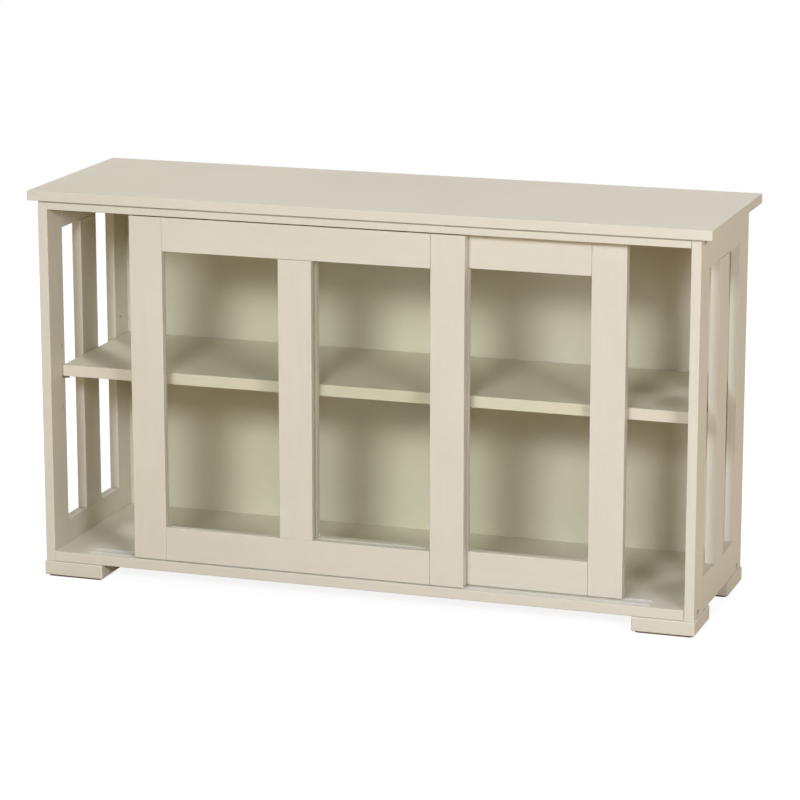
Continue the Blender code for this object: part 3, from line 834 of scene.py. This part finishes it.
def staple_shape(centre, upright):
    """One staple's crown, a wire with rounded shoulders, flat on the back board's rear face."""
    run = STAPLE_CROWN / 2
    wire = STAPLE_WIRE / 2
    half = (wire, run) if upright else (run, wire)
    return board(
        (centre[0] - half[0], back_high.y, centre[1] - half[1]),
        (centre[0] + half[0], back_high.y + STAPLE_PROUD, centre[1] + half[1]),
        "xyz", STAPLE_PROUD * STAPLE_EASE_SHARE, FINE_STEPS,
    )


def spread(start, end, pitch):
    """Places from start to end, about a pitch apart."""
    count = max(1, round((end - start) / pitch))
    return [start + (end - start) * step / count for step in range(count + 1)]


staple_places = []
for sign in (-1, 1):
    column = sign * (back_high.x - STAPLE_INSET)
    for level in spread(back_low.z + STAPLE_PITCH / 2, back_high.z - STAPLE_PITCH / 2, STAPLE_PITCH):
        staple_places.append(((column, level), True))
bottom_low, bottom_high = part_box("bottom_panel")
for level in ((bottom_low.z + bottom_high.z) / 2, (sub_low.z + sub_high.z) / 2):
    for across in spread(back_low.x + STAPLE_PITCH, back_high.x - STAPLE_PITCH, STAPLE_PITCH):
        staple_places.append(((across, level), False))
staple_mesh = bmesh.new()
for staple_centre, staple_upright in staple_places:
    crown = staple_shape(staple_centre, staple_upright)
    crown_mesh = bpy.data.meshes.new("crown")
    crown.to_mesh(crown_mesh)
    crown.free()
    staple_mesh.from_mesh(crown_mesh)
    bpy.data.meshes.remove(crown_mesh)
staples = to_object("back_panel_staples", staple_mesh)
staples.data.shade_smooth()
staples.data.materials.append(steel)
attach(staples, frame["nodes"]["back_panel"]["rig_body"])


# The feet
# Four painted blocks under the corners, a little proud of the side frames, each on a dark felt pad
# with round corners that is glued under it.
FOOT_EDGE = 0.002
PAD_CORNER = 0.005
PAD_EASE = 0.0006
FELT_TONES = ((0.085, 0.058, 0.036, 1.0), (0.190, 0.135, 0.088, 1.0))
FELT_SHEEN = 0.90
FELT_DARKNESS = 0.15
FELT_DEPTH = 0.0004
MAT_SIZE, MAT_RISE = 0.004, 0.4
FIBRE_SIZE, FIBRE_LENGTH, FIBRE_TONE, FIBRE_SHEEN, FIBRE_RISE = 0.0006, 2.5, 1.3, 0.15, 0.8


def pressed_felt(name):
    """Pressed felt: matted fibres in mixed browns."""
    recipe = Recipe(bpy.data.materials.new(name))
    mat = recipe.noise(MAT_SIZE, detail=3.0)
    fibre = recipe.noise(FIBRE_SIZE, detail=4.0, length=FIBRE_LENGTH, axis="y")
    shader = recipe.add("BsdfPrincipled", sockets={
        "Base Color": recipe.blend(fibre * FIBRE_TONE + (mat - 0.5) - FELT_DARKNESS, *FELT_TONES),
        "Roughness": FELT_SHEEN + swing(fibre, FIBRE_SHEEN),
        "Normal": recipe.relief(fibre * FIBRE_RISE + mat * MAT_RISE, FELT_DEPTH),
    })
    return recipe.finish("Material", shader)


felt = pressed_felt("pressed_felt")

for place in ("front", "rear"):
    for side in ("left", "right"):
        foot = f"{place}_{side}_foot"
        fit(
            worked(f"{foot}_painted", board(*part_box(foot), "xyz", FOOT_EDGE)),
            foot, wood_paint["x"],
        )
        pad = f"{place}_{side}_pad"
        pad_shape = board(*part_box(pad), "z", PAD_CORNER, CORNER_STEPS)
        rounded(pad_shape, sharp_edges(pad_shape), PAD_EASE, FINE_STEPS)
        fit(worked(f"{pad}_cut", pad_shape), pad, felt)


# The sliding doors
# Each is a painted frame, two stiles with a rail tenoned between them at the top and at the bottom,
# and a flat bar in front of the glass. The frame is rebated at the back for the pane.
DOOR_EDGE = 0.0007
DOOR_TENON_THICKNESS = 0.005
DOOR_TENON_SHOULDER = 0.010
BAR_TENON_THICKNESS = 0.004
REBATE_PLAY = 0.001
GLASS_EDGE = 0.0005
BEAD_WIDTH = 0.007
BEAD_ROUNDING = 0.0014
RUNNER_DEPTH = 0.010
RUNNER_EDGE = 0.0006
FIN_LENGTH = 0.030
FIN_THICKNESS = 0.004
FIN_END = 0.0018
FIN_EASE = 0.0005
GLASS_TINT = (0.984, 0.990, 0.966, 1.0)
GLASS_SMEAR_TINT = (0.978, 0.986, 0.960, 1.0)
LIGHT_THROUGH = (0.965, 0.970, 0.940, 1.0)
GLASS_INDEX = 1.25
SMEAR_SIZE, SMEAR_LENGTH, SMEAR_FROM, SMEAR_SHEEN = 0.05, 2.5, 0.45, 0.02
BEAD_TONES = ((0.62, 0.59, 0.51, 1.0), (0.68, 0.65, 0.57, 1.0))
WHITE_RUNNER_TONES = ((0.66, 0.64, 0.58, 1.0), (0.73, 0.71, 0.65, 1.0))
BLACK_RUNNER_TONES = ((0.012, 0.012, 0.013, 1.0), (0.028, 0.027, 0.026, 1.0))


def clear_glass(name):
    """Float glass with a faint yellow-green tint and traces of wiping.

    Its index is below that of real glass, for reflections as weak as those that were seen, and the
    light that falls through it isn't bent.
    """
    recipe = Recipe(bpy.data.materials.new(name))
    smear = recipe.noise(SMEAR_SIZE, detail=4.0, length=SMEAR_LENGTH, axis="z")
    pane = recipe.add("BsdfPrincipled", sockets={
        "Base Color": recipe.blend(smear, GLASS_TINT, GLASS_SMEAR_TINT),
        "Roughness": (smear - SMEAR_FROM) * SMEAR_SHEEN,
        "IOR": GLASS_INDEX,
        "Transmission Weight": 1.0,
    })
    open_way = recipe.add("BsdfTransparent", sockets={"Color": LIGHT_THROUGH})
    falling = ("Is Shadow Ray", "Is Diffuse Ray")
    fallen = sum(recipe.add("LightPath", output=light) for light in falling)
    return recipe.finish("Material", recipe.mixed(fallen, pane, open_way))


glass = clear_glass("float_glass")
bead_plastic = moulded_plastic(
    "bead_plastic", BEAD_TONES, sheen=0.40, grain_size=0.0020, grain_depth=0.00002,
)
white_runner = moulded_plastic(
    "runner_white_plastic", WHITE_RUNNER_TONES, sheen=0.38, grain_size=0.0010, grain_depth=0.00003,
)
black_runner = moulded_plastic(
    "runner_black_plastic", BLACK_RUNNER_TONES, sheen=0.50, grain_size=0.0009, grain_depth=0.00004,
)


def bead_frame(low, high):
    """A mitred frame of bead, with its inner rear edge rounded."""
    middle = (low + high) / 2
    shape = bmesh.new()
    bmesh.ops.create_grid(shape, x_segments=1, y_segments=1, size=0.5)
    bmesh.ops.rotate(shape, matrix=Matrix.Rotation(math.pi / 2, 3, "X"), verts=shape.verts)
    bmesh.ops.scale(shape, vec=(high.x - low.x, 1.0, high.z - low.z), verts=shape.verts)
    bmesh.ops.translate(shape, vec=(middle.x, low.y, middle.z), verts=shape.verts)
    inset = bmesh.ops.inset_region(
        shape, faces=shape.faces[:], thickness=BEAD_WIDTH, use_even_offset=True, use_boundary=True,
    )
    ring = inset["faces"]
    opening = [face for face in shape.faces if face not in ring]
    bmesh.ops.delete(shape, geom=opening, context="FACES")
    raised = bmesh.ops.extrude_face_region(shape, geom=shape.faces[:])
    lifted = [item for item in raised["geom"] if isinstance(item, bmesh.types.BMVert)]
    bmesh.ops.translate(shape, vec=(0.0, high.y - low.y, 0.0), verts=lifted)
    bmesh.ops.recalc_face_normals(shape, faces=shape.faces)
    reach = middle.x - low.x - BEAD_WIDTH + FLAT_SLACK
    rim = [
        edge for edge in shape.edges
        if all(abs(point.co.y - high.y) < FLAT_SLACK for point in edge.verts)
        and all(abs(point.co.x - middle.x) < reach for point in edge.verts)
    ]
    return rounded(shape, rim, BEAD_ROUNDING)


for door in ("front_door", "rear_door"):
    stile_spans = [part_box(f"{door}_{side}_stile") for side in ("left", "right")]
    rail_spans = {place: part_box(f"{door}_{place}_rail") for place in ("bottom", "top")}
    frame_high = stile_spans[1][1]
    lite_left = stile_spans[0][1].x
    lite_right = stile_spans[1][0].x
    glass_low, glass_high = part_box(f"{door}_glass")
    bar_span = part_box(f"{door}_mullion")
    bar_span[0].z = rail_spans["bottom"][1].z + CLEARANCE
    bar_span[1].z = rail_spans["top"][0].z - CLEARANCE
    bar_tenon = tenon_bar(f"{door}_mullion", "z", "y", BAR_TENON_THICKNESS, DOOR_TENON_SHOULDER)
    rail_tenons = [
        tenon_bar(f"{door}_{place}_rail", "x", "y", DOOR_TENON_THICKNESS, DOOR_TENON_SHOULDER)
        for place in ("bottom", "top")
    ]
    rebate = (
        (glass_low.x - REBATE_PLAY, glass_low.y - CLEARANCE, glass_low.z - CLEARANCE),
        (glass_high.x + REBATE_PLAY, frame_high.y + OVERRUN, glass_high.z + REBATE_PLAY),
    )

    for side, span in zip(("left", "right"), stile_spans):
        node = f"{door}_{side}_stile"
        cuts = [box_between(*grown(bar)) for bar in rail_tenons]
        cuts.append(box_between(*rebate))
        piece = worked(f"{node}_painted", board(*span, "xyz", DOOR_EDGE), cut=cuts)
        fit(piece, node, wood_paint["z"])

    for (place, span), tenon in zip(rail_spans.items(), rail_tenons):
        node = f"{door}_{place}_rail"
        low = span[0].copy()
        high = span[1].copy()
        low.x = lite_left + CLEARANCE
        high.x = lite_right - CLEARANCE
        cuts = [box_between(*grown(bar_tenon)), box_between(*rebate)]
        for side in ("left", "right"):
            kind = "bottom_glide" if place == "bottom" else "top_guide"
            pocket_low, pocket_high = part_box(f"{door}_{side}_{kind}")
            if place == "bottom":
                pocket_low.z = low.z - OVERRUN
            else:
                pocket_high.z = high.z + OVERRUN
            cuts.append(box_between(*grown((pocket_low, pocket_high))))
        fit(
            worked(f"{node}_painted", board(low, high, "x", DOOR_EDGE), [box_between(*tenon)], cuts),
            node, wood_paint["x"],
        )

    node = f"{door}_mullion"
    fit(
        worked(f"{node}_painted", board(*bar_span, "z", DOOR_EDGE), [box_between(*bar_tenon)]),
        node, wood_paint["z"],
    )

    node = f"{door}_glass"
    fit(
        worked(f"{node}_pane", board(glass_low, glass_high, "xyz", GLASS_EDGE, FINE_STEPS)),
        node, glass,
    )
    node = f"{door}_glass_bead"
    fit(worked(f"{node}_mitred", bead_frame(*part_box(node))), node, bead_plastic)

    for side in ("left", "right"):
        for kind, finish, slot in (
            ("bottom_glide", white_runner, "runner_white"), ("top_guide", black_runner, "runner_black"),
        ):
            node = f"{door}_{side}_{kind}"
            low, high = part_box(node)
            middle = (low + high) / 2
            block = (low.copy(), high.copy())
            fin = [
                Vector((middle.x - FIN_LENGTH / 2, middle.y - FIN_THICKNESS / 2, low.z)),
                Vector((middle.x + FIN_LENGTH / 2, middle.y + FIN_THICKNESS / 2, high.z)),
            ]
            if kind == "bottom_glide":
                block[0].z = high.z - RUNNER_DEPTH
                fin[1].z = high.z - RUNNER_DEPTH / 2
            else:
                block[1].z = sub_low.z - CLEARANCE
                fin[0].z = block[1].z - RUNNER_DEPTH / 2
            fin_shape = board(*fin, "z", FIN_END)
            rounded(fin_shape, sharp_edges(fin_shape), FIN_EASE, FINE_STEPS)
            piece = worked(
                f"{node}_moulded", board(*block, "xyz", RUNNER_EDGE, FINE_STEPS), [fin_shape],
            )
            fit(piece, node, finish)


# The top
# One painted board over the whole cabinet, past the side frames at both ends and a little past the
# front, with all its edges rounded.
TOP_EDGE = 0.0007

fit(
    worked("top_panel_painted", board(*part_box("top_panel"), "xyz", TOP_EDGE)),
    "top_panel", board_paint,
)
